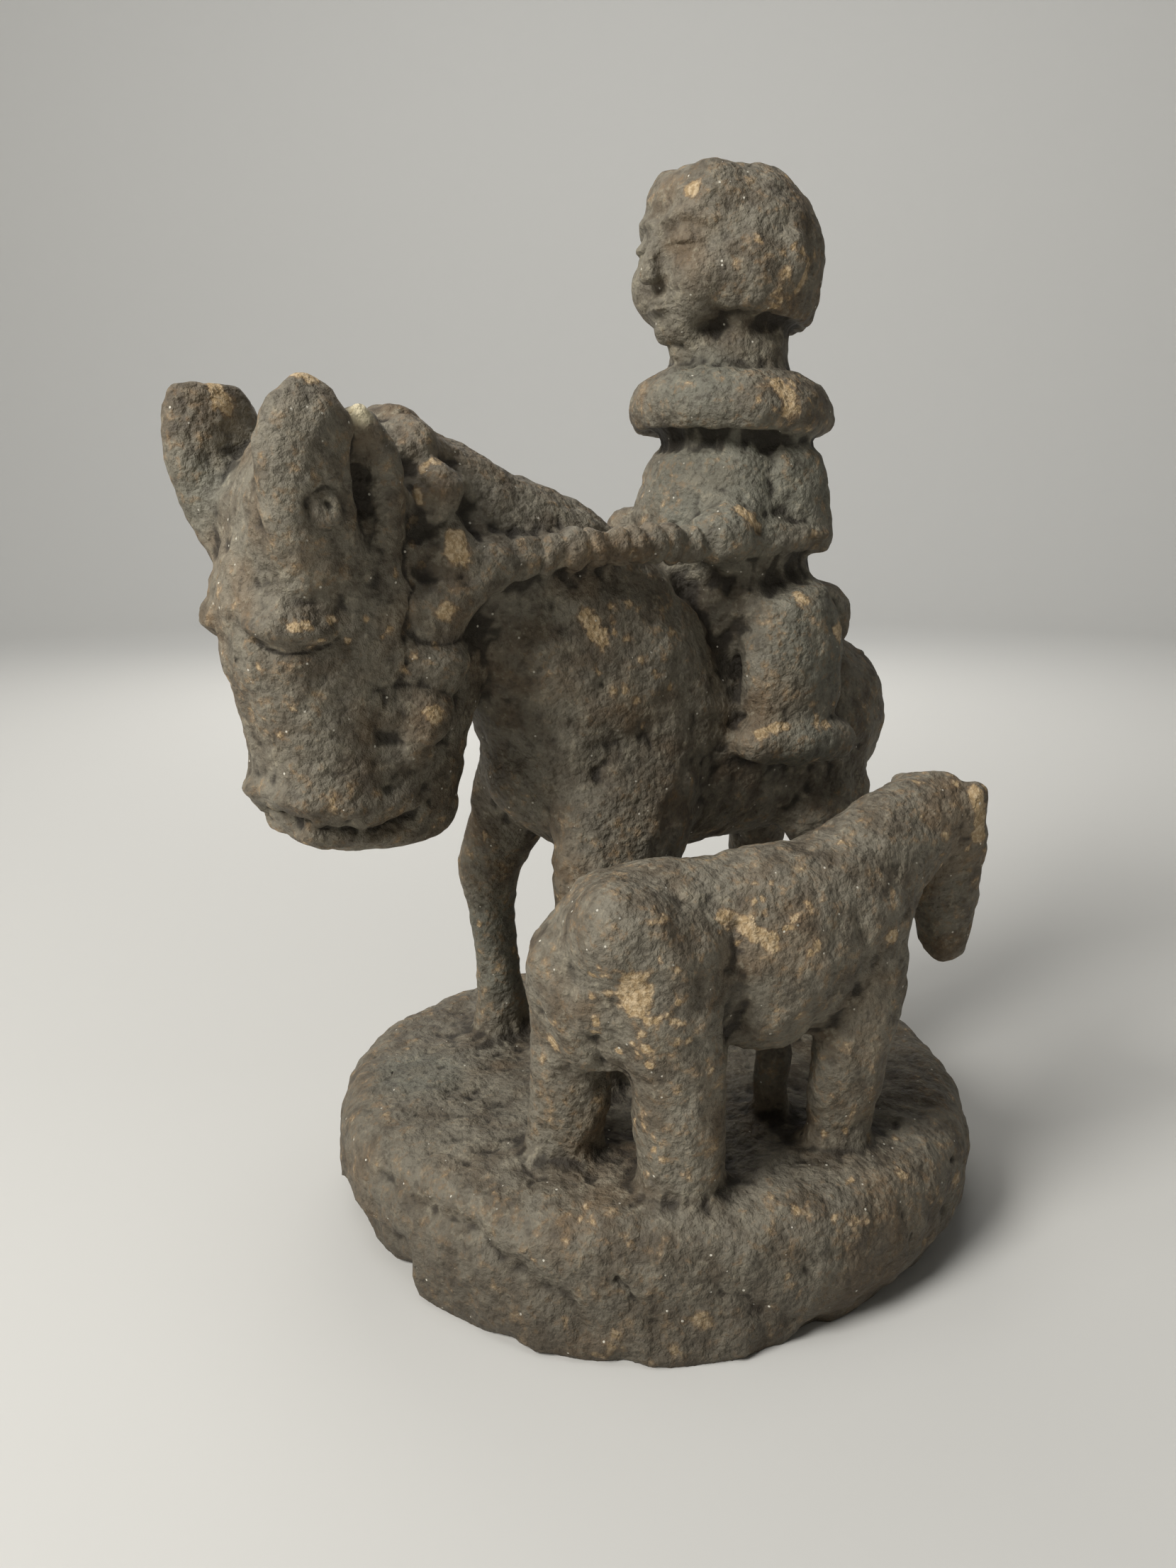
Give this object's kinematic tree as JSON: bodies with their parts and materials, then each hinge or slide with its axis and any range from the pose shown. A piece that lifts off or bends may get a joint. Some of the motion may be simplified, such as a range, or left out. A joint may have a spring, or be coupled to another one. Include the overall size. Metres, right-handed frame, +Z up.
{
  "type": "equestrian statuette",
  "caption": "Small carved wooden statuette of a rider on a bridled horse with its foal standing beside it, on a low round plinth of the same block; it rests on its underside.",
  "frame": {"origin": "middle of the plinth's flat underside", "axes": "+Z up, the horse faces -X, the foal stands on the horse's left, the -Y side, and faces +X"},
  "size_m": [0.156, 0.121, 0.2008],
  "materials": {
    "aged_wood": "weathered and handled, matt grey-brown with a dusty crust in the hollows"
  },
  "bodies": {
    "root": {"statuette": "aged_wood"}
  },
  "joints": []
}
